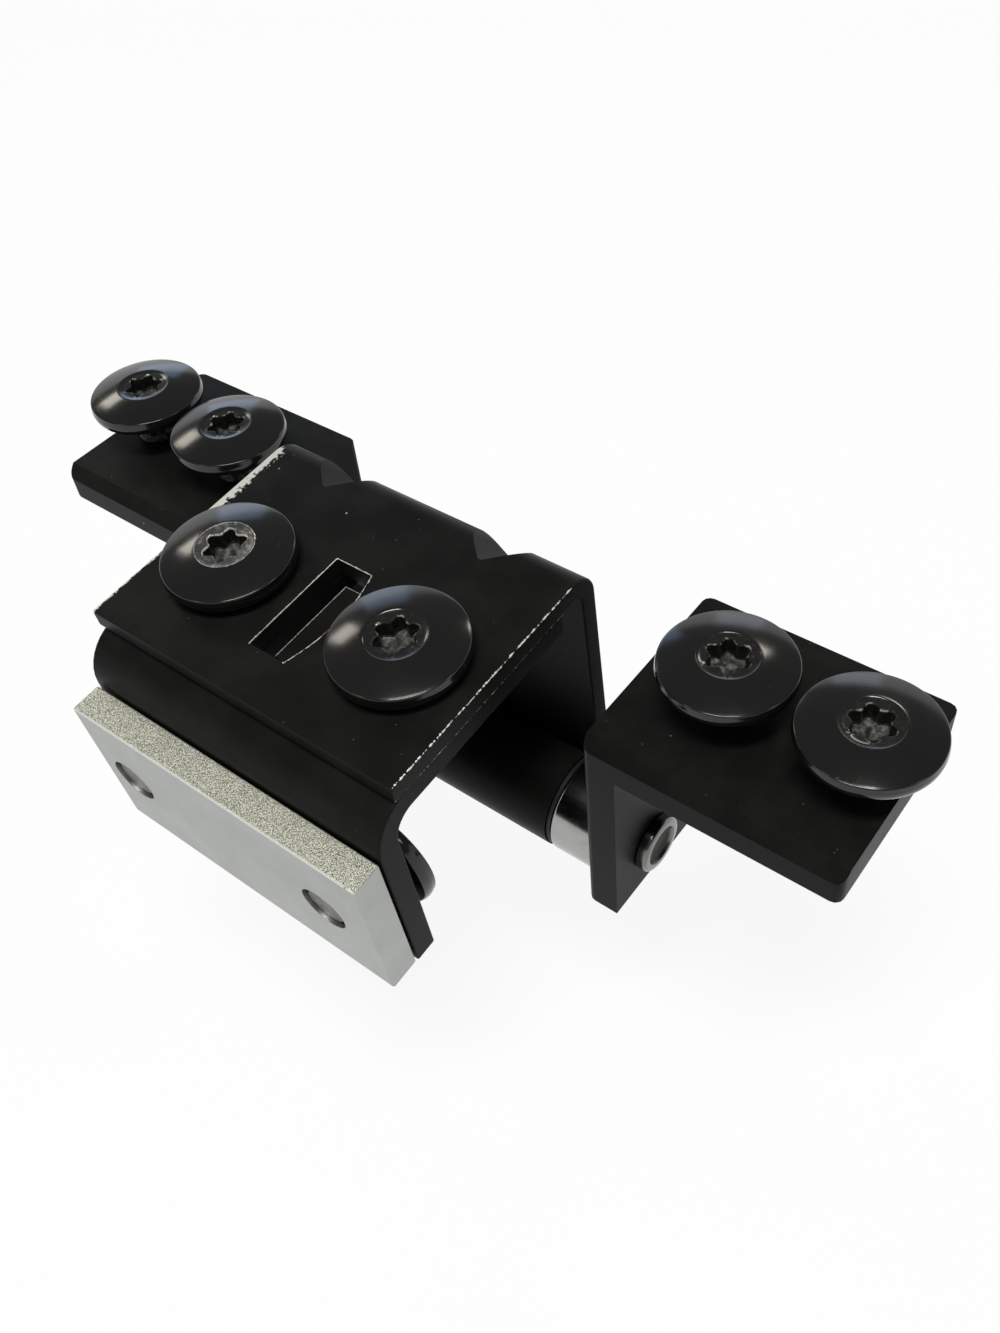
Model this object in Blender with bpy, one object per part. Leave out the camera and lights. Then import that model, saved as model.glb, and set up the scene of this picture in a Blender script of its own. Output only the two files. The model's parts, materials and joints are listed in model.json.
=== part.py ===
"""A concealed door hinge for a profile frame, in metres, with +Z up.

The centre body grips the leaf: a folded outer bracket ends in a rolled knuckle, and an inner bracket
hangs from it on two slotted screws and carries a clamp plate in front. A riveted pin runs through the
knuckle and joins two L-shaped side brackets, whose large-headed screws grip the lips of the frame.

Pieces are drawn in the centre body's own coordinates: X along the pin, Y = 0 on the rear face and
Z = 0 on the top face. One empty then moves them so that the middle of the clamp plate's front face is
the origin. A second empty lies on the pin and holds everything that swings with it.
"""

from math import acos, cos, pi, radians, sin, sqrt

import bmesh
import bpy
from mathutils import Matrix, Vector

# Centre body: the outer bracket's folded sheet
BODY_WIDTH = 0.0452
TOP_DEPTH = 0.0347
OUTER_SHEET = 0.0025
REAR_BEND = 0.0038
PIVOT_DROP = 0.0387
KNUCKLE_BORE = 0.00435
KNUCKLE_INSET = 0.0012
KNUCKLE_SEAM = 0.0008

# Pressed gussets across the rear bend
GUSSET_INSET = 0.0107
GUSSET_SHIFT = -0.0008
GUSSET_REACH = 0.0056
GUSSET_HALF_WIDTH = 0.0038
GUSSET_VALLEY = 0.0005
GUSSET_SHEET = 0.0016
GUSSET_WEB_DROP = 0.0005

# Lanced slot and its guide tongue, which is pressed down level by one sheet
SLOT_WIDTH = 0.0052
SLOT_LENGTH = 0.0146
SLOT_BULGE = 0.0012
SLOT_SHIFT = -0.0005
TONGUE_SIDE_GAP = 0.00175
TONGUE_END_GAP = 0.0013
TONGUE_RUN = 0.0009
TONGUE_NECK = 0.0006

# Inner bracket
INNER_SIDE_GAP = 0.0003
INNER_SHEET = 0.0030
FLANGE_BEND = 0.0060
FLANGE_Y = 0.0385
FLANGE_FOOT = 0.0310
ADJUSTMENT = 0.0025
ADJUSTMENT_SPARE = 0.0006

# Clamp plate
CLAMP_SIDE_GAP = 0.00015
CLAMP_HEIGHT = 0.0219
CLAMP_THICKNESS = 0.0040
CLAMP_EDGE = 0.00025
CHIP_INSET = 0.00155
CHIP_SIZE = 0.0007

# Screws, all alike
THREAD_RADIUS = 0.0030
SHANK_LENGTH = 0.0070
TIP_CHAMFER = 0.0005
SHOULDER_RADIUS = 0.0050
SHOULDER_HEIGHT = 0.0007
HEAD_RADIUS = 0.0080
RIM_HEIGHT = 0.00185
RIM_TAPER = 0.0001
RIM_EDGE = 0.0003
DOME_RISE = 0.0011
DRIVE_FACE_RADIUS = 0.0036
DRIVE_FACE_SINK = 0.00015
LOBE_RADIUS = 0.00225
LOBE_DEPTH = 0.00038
LOBES = 6
DRIVE_DEPTH = 0.0023
TOP_SCREW_INSET = 0.00985
TOP_SCREW_Y = 0.0212
FLANGE_SCREW_INSET = 0.00645
FLANGE_SCREW_SHIFT = -0.0012

# Pin, bushes and spacers
PIN_RADIUS = 0.0030
RIVET_RADIUS = 0.0039
RIVET_HEIGHT = 0.0015
RIVET_ROUND = 0.0005
DISH_RADIUS = 0.00275
DISH_DEPTH = 0.0007
DISH_FLOOR_RADIUS = 0.00165
BUSH_LENGTH = 0.0100
BUSH_FLANGE_RADIUS = 0.0066
BUSH_FLANGE = 0.0005
SPACER_RADIUS = 0.00685
SPACER_LENGTH = 0.0064
SPACER_EDGE = 0.0005

# Side brackets, measured from the pin
SIDE_LENGTH = 0.0321
SIDE_THICKNESS = 0.0049
LEG_THICKNESS = 0.0045
SIDE_TOP = 0.0253
SIDE_FRONT = 0.00795
SIDE_REAR = 0.0190
SIDE_FOOT = 0.0070
FRONT_CHAMFER_RUN = 0.0015
FRONT_CHAMFER_DROP = 0.0016
SIDE_CORNER = 0.0011
SIDE_EDGE = 0.0004
SIDE_SCREW_FIRST = 0.0104
SIDE_SCREW_PITCH = 0.0168
SIDE_SCREW_Y = 0.00565
SIDE_HEAD_LIFT = 0.00475
SIDE_ANGLE = radians(-4)

# Fits
SEAT_GAP = 0.0002
RUNNING_GAP = 0.00006
SLIP_GAP = 0.0001
THREAD_GAP = 0.00015
HOLE_GAP = 0.0003
SWING_GAP = 0.0005
SLOT_GAP = 0.0004

# Fineness
ROUND_STEPS = 30
CORNER_STEPS = 3
BULGE_STEPS = 8
JOGGLE_STEPS = 4
DOME_STEPS = 2
BEND_STEP = radians(10)
EDGE_BREAK = 0.00025

PIVOT_Y = -(KNUCKLE_BORE + OUTER_SHEET)
PIVOT_Z = -PIVOT_DROP
INNER_WIDTH = BODY_WIDTH - 2 * INNER_SIDE_GAP
CLAMP_WIDTH = INNER_WIDTH - 2 * CLAMP_SIDE_GAP
GUSSET_X = BODY_WIDTH / 2 - GUSSET_INSET
TOP_SCREW_X = BODY_WIDTH / 2 - TOP_SCREW_INSET
FLANGE_SCREW_X = CLAMP_WIDTH / 2 - FLANGE_SCREW_INSET
CHIP_X = CLAMP_WIDTH / 2 - CHIP_INSET
INNER_TOP = -(OUTER_SHEET + SEAT_GAP)
FLANGE_INSIDE = -(FLANGE_Y - INNER_SHEET)
CLAMP_BACK = -(FLANGE_Y + SEAT_GAP)
CLAMP_FACE = CLAMP_BACK - CLAMP_THICKNESS
CLAMP_MIDDLE = -(FLANGE_FOOT - CLAMP_HEIGHT / 2)
KNUCKLE_END = BODY_WIDTH / 2 - KNUCKLE_INSET
BUSH_END = KNUCKLE_END + SLIP_GAP + BUSH_FLANGE
SPACER_START = BUSH_END + SLIP_GAP
LEG_START = SPACER_START + SPACER_LENGTH + SEAT_GAP
LEG_END = LEG_START + LEG_THICKNESS
SIDES = {"left": -1, "right": 1}


def clear_scene():
    for thing in list(bpy.data.objects):
        bpy.data.objects.remove(thing, do_unlink=True)


def material(name, color, roughness, metallic):
    """A Principled material, made once for each name."""
    made = bpy.data.materials.get(name)
    if made is None:
        made = bpy.data.materials.new(name)
        made.use_nodes = True
        shader = made.node_tree.nodes["Principled BSDF"]
        shader.inputs["Base Color"].default_value = (*color, 1)
        shader.inputs["Roughness"].default_value = roughness
        shader.inputs["Metallic"].default_value = metallic
    return made


def black_coat():
    return material("black_coat", (0.012, 0.012, 0.014), 0.3, 0.0)


def black_screw():
    return material("black_screw", (0.015, 0.015, 0.017), 0.25, 0.3)


def zinc():
    return material("zinc", (0.66, 0.68, 0.68), 0.28, 1.0)


def aluminium():
    return material("aluminium", (0.62, 0.64, 0.63), 0.45, 1.0)


def black_polymer():
    return material("black_polymer", (0.01, 0.01, 0.01), 0.6, 0.0)


def empty(name, location, parent=None):
    made = bpy.data.objects.new(name, None)
    made.location = location
    made.parent = parent
    bpy.context.collection.objects.link(made)
    return made


def place(name, mesh, surface, parent, location=(0, 0, 0), turn=None):
    """An object for the mesh, placed under its parent."""
    made = bpy.data.objects.new(name, mesh)
    if surface and not mesh.materials:
        mesh.materials.append(surface)
    made.parent = parent
    made.matrix_local = Matrix.Translation(location) @ (turn or Matrix.Identity(4))
    bpy.context.collection.objects.link(made)
    return made


def mesh_from(bm, name):
    """Closes a bmesh into a mesh with outward faces, smooth apart from its sharp edges."""
    bmesh.ops.recalc_face_normals(bm, faces=bm.faces)
    mesh = bpy.data.meshes.new(name)
    bm.to_mesh(mesh)
    bm.free()
    mesh.shade_smooth()
    mesh.set_sharp_from_angle(angle=radians(35))
    return mesh


def bevel(thing, width):
    """Breaks the sharp edges of a piece."""
    mod = thing.modifiers.new("edge_break", "BEVEL")
    mod.width = width
    mod.segments = 2
    mod.limit_method = "ANGLE"
    mod.angle_limit = radians(40)
    return mod


def boolean(thing, tool, operation):
    """Cuts or joins a hidden tool, which keeps the piece one body."""
    tool.hide_render = True
    tool.display_type = "WIRE"
    mod = thing.modifiers.new(tool.name, "BOOLEAN")
    mod.operation = operation
    mod.solver = "EXACT"
    mod.object = tool


def extruded(name, outline, low, high, axis):
    """A prism: the outline's two numbers run along the other two axes, in X, Y, Z order."""
    bm = bmesh.new()
    order = {"X": (2, 0, 1), "Y": (0, 2, 1), "Z": (0, 1, 2)}[axis]
    verts = []
    for a, b in outline:
        point = (a, b, low)
        verts.append(bm.verts.new([point[i] for i in order]))
    face = bm.faces.new(verts)
    grown = bmesh.ops.extrude_face_region(bm, geom=[face])["geom"]
    shift = Vector([high - low if name_ == axis else 0 for name_ in "XYZ"])
    bmesh.ops.translate(bm, vec=shift, verts=[v for v in grown if isinstance(v, bmesh.types.BMVert)])
    return mesh_from(bm, name)


def turned(name, stations, closed=False):
    """A body turned about Z from (radius, height) or (radius, height, lobe depth) stations.

    A lobe depth makes that ring a six-lobed star, as in the drive recess. A closed profile has a bore.
    """
    bm = bmesh.new()
    rings = []
    for radius, height, *lobe in stations:
        ring = []
        for i in range(ROUND_STEPS):
            turn = 2 * pi * i / ROUND_STEPS
            reach = radius + (lobe[0] * cos(LOBES * turn) if lobe else 0)
            ring.append(bm.verts.new((reach * cos(turn), reach * sin(turn), height)))
        rings.append(ring)
    pairs = list(zip(rings, rings[1:]))
    if closed:
        pairs.append((rings[-1], rings[0]))
    else:
        bm.faces.new(rings[0])
        bm.faces.new(rings[-1])
    for below, above in pairs:
        for i in range(ROUND_STEPS):
            j = (i + 1) % ROUND_STEPS
            bm.faces.new((below[i], below[j], above[j], above[i]))
    return mesh_from(bm, name)


def hull(name, points):
    bm = bmesh.new()
    for point in points:
        bm.verts.new(point)
    bmesh.ops.convex_hull(bm, input=bm.verts)
    return mesh_from(bm, name)


def sheet_outline(start, heading, runs, thickness):
    """The section of a folded sheet, traced along its outer side.

    Each run is a straight length, then a bend to the right with an outer radius and an angle.
    """
    outer = []
    inner = []

    def mark(point, heading):
        outer.append(point)
        inner.append(point + Vector((sin(heading), -cos(heading))) * thickness)

    point = Vector(start)
    mark(point, heading)
    for length, radius, angle in runs:
        point = point + Vector((cos(heading), sin(heading))) * length
        if length:
            mark(point, heading)
        centre = point + Vector((sin(heading), -cos(heading))) * radius
        steps = max(1, round(angle / BEND_STEP))
        for i in range(1, steps + 1 if angle else 1):
            turned_to = heading - angle * i / steps
            point = centre + Vector((-sin(turned_to), cos(turned_to))) * radius
            mark(point, turned_to)
        heading -= angle
    return [tuple(p) for p in outer + inner[::-1]]


def box(name, low, high):
    """A box between two corners."""
    outline = [(low[0], low[1]), (high[0], low[1]), (high[0], high[1]), (low[0], high[1])]
    return extruded(name, outline, low[2], high[2], "Z")


def rod(name, radius, low, high):
    return turned(name, [(radius, low), (radius, high)])


def slotted_hole(name, radius, travel, low, high):
    """A slot along Y with round ends, for a screw that can shift by the travel either way."""
    steps = ROUND_STEPS // 2
    outline = []
    for end in (1, -1):
        for i in range(steps + 1):
            turn = pi * i / steps + (0 if end > 0 else pi)
            outline.append((radius * cos(turn), end * travel + radius * sin(turn)))
    return extruded(name, outline, low, high, "Z")


def slot_fold(along):
    """How far the slot's fold side bulges to +X, from one end (-1) to the other (1)."""
    return SLOT_WIDTH / 2 + SLOT_BULGE * (1 - along * along)


def lanced_slot_outline():
    """The slot seen from above, about the screws' line."""
    half = SLOT_LENGTH / 2
    outline = [(-SLOT_WIDTH / 2, half), (-SLOT_WIDTH / 2, -half)]
    for i in range(BULGE_STEPS + 1):
        along = -1 + 2 * i / BULGE_STEPS
        outline.append((slot_fold(along), half * along))
    return outline


def joggle(start, level):
    """One side of the step down to the tongue, in a smooth S from the start at the given level."""
    points = []
    for i in range(JOGGLE_STEPS + 1):
        part = i / JOGGLE_STEPS
        drop = OUTER_SHEET * (1 - cos(pi * part)) / 2
        points.append((start - TONGUE_RUN * part, level - drop))
    return points


def tongue():
    """The tongue: a loft that steps down from the slot's bulging fold to a level plate."""
    half = SLOT_LENGTH / 2 - TONGUE_END_GAP
    tip = TONGUE_SIDE_GAP - SLOT_WIDTH / 2
    bm = bmesh.new()
    loops = []
    for i in range(BULGE_STEPS + 1):
        along = -1 + 2 * i / BULGE_STEPS
        fold = slot_fold(along * half / (SLOT_LENGTH / 2))
        root = fold + TONGUE_NECK + SEAT_GAP
        top = [(root, 0)] + joggle(fold, 0) + [(tip, -OUTER_SHEET)]
        under = [(root, -OUTER_SHEET)] + joggle(fold + TONGUE_NECK, -OUTER_SHEET)
        under.append((tip, -2 * OUTER_SHEET))
        loops.append([bm.verts.new((x, half * along, z)) for x, z in top + under[::-1]])
    bm.faces.new(loops[0])
    bm.faces.new(loops[-1])
    count = len(loops[0])
    for near, far in zip(loops, loops[1:]):
        for i in range(count):
            j = (i + 1) % count
            bm.faces.new((near[i], near[j], far[j], far[i]))
    return mesh_from(bm, "guide_tongue")


def gusset_groove(x):
    """The tool for one V groove across the rear bend: a narrow valley and a wide mouth outside."""
    bend_gap = REAR_BEND * (1 - 1 / sqrt(2))
    points = []
    for side in (-1, 1):
        valley = x + side * GUSSET_VALLEY / 2
        points.append((valley, -GUSSET_REACH, 0))
        points.append((valley, 0, -GUSSET_REACH))
        # The groove's walls run on past the sheet, to a mouth as far out again as the valley is deep
        lift = GUSSET_REACH / 2 - bend_gap
        slope = (GUSSET_HALF_WIDTH - GUSSET_VALLEY / 2) / lift
        mouth = x + side * (GUSSET_VALLEY / 2 + slope * (GUSSET_REACH / 2 + lift))
        points.append((mouth, lift, lift))
    return hull("gusset_groove", points)


def press_gussets(bracket, frame):
    """A ridge inside the bend and a matching V groove outside it, twice."""
    end = GUSSET_REACH + GUSSET_SHEET * sqrt(2) - OUTER_SHEET / 2
    high = GUSSET_WEB_DROP
    low = OUTER_SHEET + GUSSET_WEB_DROP
    for name, side in SIDES.items():
        x = side * GUSSET_X + GUSSET_SHIFT
        web = [(x, -end, -OUTER_SHEET / 2), (x, -OUTER_SHEET / 2, -end)]
        for edge in (x - GUSSET_HALF_WIDTH, x + GUSSET_HALF_WIDTH):
            web.append((edge, -low, -high))
            web.append((edge, -high, -low))
        ridge = place(f"gusset_ridge_{name}", hull("gusset_ridge", web), None, frame)
        boolean(bracket, ridge, "UNION")
        groove = place(f"gusset_groove_{name}", gusset_groove(x), None, frame)
        boolean(bracket, groove, "DIFFERENCE")


def outer_bracket(frame):
    """The top plate, rear wall and knuckle, folded from one sheet."""
    knuckle = KNUCKLE_BORE + OUTER_SHEET
    roll = 2 * pi - acos((knuckle - OUTER_SHEET - KNUCKLE_SEAM) / knuckle)
    runs = [
        (TOP_DEPTH - REAR_BEND, REAR_BEND, pi / 2),
        (PIVOT_DROP - REAR_BEND, knuckle, roll),
    ]
    section = sheet_outline((-TOP_DEPTH, 0), 0, runs, OUTER_SHEET)
    mesh = extruded("outer_bracket", section, -BODY_WIDTH / 2, BODY_WIDTH / 2, "X")
    bracket = place("outer_bracket", mesh, black_coat(), frame)
    bevel(bracket, EDGE_BREAK)
    press_gussets(bracket, frame)
    low = -2 * OUTER_SHEET
    slot = extruded("lanced_slot", lanced_slot_outline(), low, -low, "Z")
    centre = (SLOT_SHIFT, -TOP_SCREW_Y, 0)
    boolean(bracket, place("lanced_slot", slot, None, frame, centre), "DIFFERENCE")
    boolean(bracket, place("guide_tongue", tongue(), None, frame, centre), "UNION")
    for name, side in SIDES.items():
        hole = slotted_hole("screw_slot", THREAD_RADIUS + HOLE_GAP, ADJUSTMENT, low, -low)
        spot = (side * TOP_SCREW_X, -TOP_SCREW_Y, 0)
        boolean(bracket, place(f"screw_slot_{name}", hole, None, frame, spot), "DIFFERENCE")
        # The knuckle is cut shorter than the sheet, up to where the turning spacer stays clear
        top = PIVOT_Z + SPACER_RADIUS + SWING_GAP
        ends = sorted((side * KNUCKLE_END, side * BODY_WIDTH))
        trim = box("knuckle_trim", (ends[0], -TOP_DEPTH, 2 * PIVOT_Z), (ends[1], OUTER_SHEET, top))
        boolean(bracket, place(f"knuckle_trim_{name}", trim, None, frame), "DIFFERENCE")
    return bracket


def flange_screw_x(side):
    """The flange's screw pair sits a little to the left of the middle."""
    return side * FLANGE_SCREW_X + FLANGE_SCREW_SHIFT


def inner_bracket(frame):
    """The plate under the top, bent down in front into the flange that carries the clamp plate."""
    rear_edge = -(OUTER_SHEET + ADJUSTMENT + ADJUSTMENT_SPARE)
    rise = FLANGE_FOOT + INNER_TOP - FLANGE_BEND
    run = FLANGE_Y + rear_edge - FLANGE_BEND
    section = sheet_outline(
        (-FLANGE_Y, -FLANGE_FOOT), pi / 2, [(rise, FLANGE_BEND, pi / 2), (run, 0, 0)], INNER_SHEET
    )
    mesh = extruded("inner_bracket", section, -INNER_WIDTH / 2, INNER_WIDTH / 2, "X")
    bracket = place("inner_bracket", mesh, black_coat(), frame)
    bevel(bracket, EDGE_BREAK)
    low = INNER_TOP - 2 * INNER_SHEET
    # The tongue runs in this slot, whose ends allow the whole adjustment
    reach = SLOT_LENGTH / 2 - TONGUE_END_GAP + ADJUSTMENT + SLOT_GAP
    left = SLOT_WIDTH / 2
    right = SLOT_WIDTH / 2 + SLOT_BULGE + TONGUE_NECK + SLOT_GAP
    guide = box("guide_slot", (-left, -reach, low), (right, reach, 0))
    boolean(bracket, place("guide_slot", guide, None, frame, (SLOT_SHIFT, -TOP_SCREW_Y, 0)), "DIFFERENCE")
    relief_depth = GUSSET_REACH + GUSSET_SHEET * sqrt(2) + ADJUSTMENT + SLOT_GAP - OUTER_SHEET
    for name, side in SIDES.items():
        hole = rod("tapped_hole", THREAD_RADIUS + THREAD_GAP, low, 0)
        spot = (side * TOP_SCREW_X, -TOP_SCREW_Y, 0)
        boolean(bracket, place(f"tapped_hole_{name}", hole, None, frame, spot), "DIFFERENCE")
        # Reliefs in the rear edge clear the gusset ridges when the outer bracket is pushed forward
        half = GUSSET_HALF_WIDTH + SLOT_GAP
        relief = box("ridge_relief", (-half, -relief_depth, low), (half, 0, 0))
        spot = (side * GUSSET_X + GUSSET_SHIFT, 0, 0)
        boolean(bracket, place(f"ridge_relief_{name}", relief, None, frame, spot), "DIFFERENCE")
        through = rod("flange_hole", THREAD_RADIUS + HOLE_GAP, -2 * INNER_SHEET, 2 * INNER_SHEET)
        spot = (flange_screw_x(side), -FLANGE_Y, CLAMP_MIDDLE)
        tool = place(f"flange_hole_{name}", through, None, frame, spot, Matrix.Rotation(pi / 2, 4, "X"))
        boolean(bracket, tool, "DIFFERENCE")
    return bracket


def clamp_plate(frame):
    """The aluminium bar in front, tapped for the flange screws, with one nick in its front top edge."""
    half = CLAMP_HEIGHT / 2
    outline = [(0, -half), (-CLAMP_THICKNESS, -half), (-CLAMP_THICKNESS, half), (0, half)]
    mesh = extruded("clamp_plate", outline, -CLAMP_WIDTH / 2, CLAMP_WIDTH / 2, "X")
    plate = place("clamp_plate", mesh, aluminium(), frame, (0, CLAMP_BACK, CLAMP_MIDDLE))
    bevel(plate, CLAMP_EDGE)
    for name, side in SIDES.items():
        hole = rod("clamp_thread", THREAD_RADIUS + THREAD_GAP, -2 * CLAMP_THICKNESS, 2 * CLAMP_THICKNESS)
        spot = (flange_screw_x(side), CLAMP_BACK, CLAMP_MIDDLE)
        tool = place(f"clamp_thread_{name}", hole, None, frame, spot, Matrix.Rotation(pi / 2, 4, "X"))
        boolean(plate, tool, "DIFFERENCE")
    corner = Vector((CHIP_X, CLAMP_FACE, CLAMP_MIDDLE + half))
    nick = hull("nick", [
        corner + Vector((-2 * CHIP_SIZE, -CHIP_SIZE, CHIP_SIZE)),
        corner + Vector((2 * CHIP_SIZE, -CHIP_SIZE, CHIP_SIZE)),
        corner + Vector((0, CHIP_SIZE, CHIP_SIZE / 2)),
        corner + Vector((CHIP_SIZE / 2, -CHIP_SIZE / 2, -CHIP_SIZE)),
    ])
    boolean(plate, place("nick", nick, None, frame), "DIFFERENCE")
    return plate


def screw_mesh():
    """The common screw, its shoulder's underside at Z = 0 and its shank down: a wide shallow dome."""
    under = SHOULDER_HEIGHT
    rim = under + RIM_HEIGHT
    crown = rim + DOME_RISE
    drive_face = crown - DRIVE_FACE_SINK
    brow = HEAD_RADIUS - RIM_EDGE
    inner = DRIVE_FACE_RADIUS / brow
    dome = []
    for i in range(1, DOME_STEPS + 1):
        share = 1 - (1 - inner) * i / DOME_STEPS
        rise = (1 - share * share) / (1 - inner * inner)
        dome.append((brow * share, rim + DOME_RISE * rise))
    return turned("screw", [
        (THREAD_RADIUS - TIP_CHAMFER, -SHANK_LENGTH),
        (THREAD_RADIUS, TIP_CHAMFER - SHANK_LENGTH),
        (THREAD_RADIUS, 0),
        (SHOULDER_RADIUS, 0),
        (SHOULDER_RADIUS, under),
        (HEAD_RADIUS - RIM_TAPER, under),
        (HEAD_RADIUS, rim - RIM_EDGE),
        (brow, rim),
        *dome,
        (LOBE_RADIUS, drive_face, LOBE_DEPTH),
        (LOBE_RADIUS, drive_face - DRIVE_DEPTH, LOBE_DEPTH),
    ])


def place_screws(frame, swing):
    """Two screws through the top, two through the flange and two on each side bracket."""
    mesh = screw_mesh()
    flange_turn = Matrix.Rotation(-pi / 2, 4, "X")
    for name, side in SIDES.items():
        spot = (side * TOP_SCREW_X, -TOP_SCREW_Y, SEAT_GAP)
        place(f"top_screw_{name}", mesh, black_screw(), frame, spot)
        spot = (flange_screw_x(side), FLANGE_INSIDE + SEAT_GAP, CLAMP_MIDDLE)
        place(f"flange_screw_{name}", mesh, black_screw(), frame, spot, flange_turn)
        for count, where in enumerate(("inner", "outer")):
            x = LEG_START + SIDE_SCREW_FIRST + count * SIDE_SCREW_PITCH
            spot = (side * x, SIDE_SCREW_Y, SIDE_TOP + SIDE_HEAD_LIFT - SHOULDER_HEIGHT)
            place(f"side_screw_{name}_{where}", mesh, black_screw(), swing, spot)


def along_x(side=1):
    """Turns a piece made along Z to run along X, outwards on the given side."""
    return Matrix.Rotation(side * pi / 2, 4, "Y")


def pivot_pin(swing):
    """The pin through the knuckle, with a dished rivet head outside each leg."""
    seat = LEG_END + SLIP_GAP
    tip = seat + RIVET_HEIGHT
    head = [
        (PIN_RADIUS, seat),
        (RIVET_RADIUS, seat),
        (RIVET_RADIUS, tip - RIVET_ROUND),
        (RIVET_RADIUS - RIVET_ROUND, tip),
        (DISH_RADIUS, tip),
        (DISH_FLOOR_RADIUS, tip - DISH_DEPTH),
    ]
    mirrored = [(radius, -height) for radius, height in head[::-1]]
    place("pivot_pin", turned("pivot_pin", mirrored + head), zinc(), swing, turn=along_x())


def knuckle_bush(name, side, frame):
    """A flanged polymer bush: its barrel lines the knuckle, and its flange is the thin black ring."""
    bore = PIN_RADIUS + RUNNING_GAP
    barrel = KNUCKLE_BORE - SLIP_GAP
    face = KNUCKLE_END + SLIP_GAP
    profile = [
        (bore, face - BUSH_LENGTH),
        (barrel, face - BUSH_LENGTH),
        (barrel, face),
        (BUSH_FLANGE_RADIUS, face),
        (BUSH_FLANGE_RADIUS, BUSH_END),
        (bore, BUSH_END),
    ]
    mesh = turned("knuckle_bush", profile, closed=True)
    place(f"knuckle_bush_{name}", mesh, black_polymer(), frame, (0, PIVOT_Y, PIVOT_Z), along_x(side))


def spacer(name, side, swing):
    """The bright ring that keeps a leg off the knuckle, its edges rounded."""
    bore = PIN_RADIUS + SLIP_GAP
    end = SPACER_START + SPACER_LENGTH
    profile = [
        (bore, SPACER_START),
        (SPACER_RADIUS - SPACER_EDGE, SPACER_START),
        (SPACER_RADIUS, SPACER_START + SPACER_EDGE),
        (SPACER_RADIUS, end - SPACER_EDGE),
        (SPACER_RADIUS - SPACER_EDGE, end),
        (bore, end),
    ]
    place(f"spacer_{name}", turned("spacer", profile, closed=True), zinc(), swing, turn=along_x(side))


def rounded_plan(low, high, radius):
    """A rectangle's outline between two corners, its own corners rounded."""
    left, right = low[0] + radius, high[0] - radius
    front, rear = low[1] + radius, high[1] - radius
    outline = []
    for corner, (x, y) in enumerate([(right, rear), (left, rear), (left, front), (right, front)]):
        for i in range(CORNER_STEPS + 1):
            turn = pi / 2 * (corner + i / CORNER_STEPS)
            outline.append((x + radius * cos(turn), y + radius * sin(turn)))
    return outline


def side_bracket(name, side, swing):
    """An L of plate and leg: the plate is chamfered along its front and the leg holds the pin."""
    far = LEG_START + SIDE_LENGTH
    under = SIDE_TOP - SIDE_THICKNESS
    outline = [
        (LEG_START, SIDE_TOP),
        (LEG_START, -SIDE_FOOT),
        (LEG_END, -SIDE_FOOT),
        (LEG_END, under),
        (far, under),
        (far, SIDE_TOP),
    ]
    outline = [(side * x, z) for x, z in outline]
    mesh = extruded("side_bracket", outline, -SIDE_FRONT, SIDE_REAR, "Y")
    bracket = place(f"side_bracket_{name}", mesh, black_coat(), swing)
    near, end = sorted((side * LEG_START, side * far))
    corners = rounded_plan((near, -SIDE_FRONT), (end, SIDE_REAR), SIDE_CORNER)
    plan = extruded("plan", corners, -2 * SIDE_FOOT, 2 * SIDE_TOP, "Z")
    boolean(bracket, place(f"plan_{name}", plan, None, swing), "INTERSECT")
    chamfer = extruded("front_chamfer", [
        (-SIDE_FRONT - FRONT_CHAMFER_RUN, SIDE_TOP - 2 * FRONT_CHAMFER_DROP),
        (-SIDE_FRONT + FRONT_CHAMFER_RUN * 2, SIDE_TOP + FRONT_CHAMFER_DROP),
        (-SIDE_FRONT - FRONT_CHAMFER_RUN, SIDE_TOP + FRONT_CHAMFER_DROP),
    ], -2 * far, 2 * far, "X")
    boolean(bracket, place(f"front_chamfer_{name}", chamfer, None, swing), "DIFFERENCE")
    bevel(bracket, SIDE_EDGE)
    hole = rod("pin_hole", PIN_RADIUS + SLIP_GAP, LEG_START - LEG_THICKNESS, LEG_END + LEG_THICKNESS)
    boolean(bracket, place(f"pin_hole_{name}", hole, None, swing, turn=along_x(side)), "DIFFERENCE")
    for count in range(2):
        x = LEG_START + SIDE_SCREW_FIRST + count * SIDE_SCREW_PITCH
        spot = (side * x, SIDE_SCREW_Y, SIDE_TOP)
        thread = rod("side_thread", THREAD_RADIUS + THREAD_GAP, -2 * SIDE_THICKNESS, SIDE_THICKNESS)
        boolean(bracket, place(f"side_thread_{name}_{count + 1}", thread, None, swing, spot), "DIFFERENCE")
    return bracket


def build():
    clear_scene()
    frame = empty("centre_body", (0, -CLAMP_FACE, -CLAMP_MIDDLE))
    swing = empty("pin_axis", (0, PIVOT_Y, PIVOT_Z), frame)
    swing.rotation_euler.x = SIDE_ANGLE
    outer_bracket(frame)
    inner_bracket(frame)
    clamp_plate(frame)
    place_screws(frame, swing)
    pivot_pin(swing)
    for name, side in SIDES.items():
        knuckle_bush(name, side, frame)
        spacer(name, side, swing)
        side_bracket(name, side, swing)


build()
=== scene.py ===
"""The looks of a concealed door hinge: its finishes and fine forms, laid out as a Blender add-on.

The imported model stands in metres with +Z up. X runs along the pin, and the origin is the middle of the
clamp plate's front face. The sheets, the clamp plate and the bushes keep the model's form. The sheets get
softened edges, worn lines, dust and scratches. Screws, pin and spacers are turned again with round edges,
and the screws also with six-lobed drives and real threads.
"""

import json
from math import cos, pi, radians, sin

import bmesh
import bpy
import numpy as np
from bpy.props import FloatProperty, FloatVectorProperty, IntProperty, PointerProperty
from mathutils import Matrix, Vector


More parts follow.
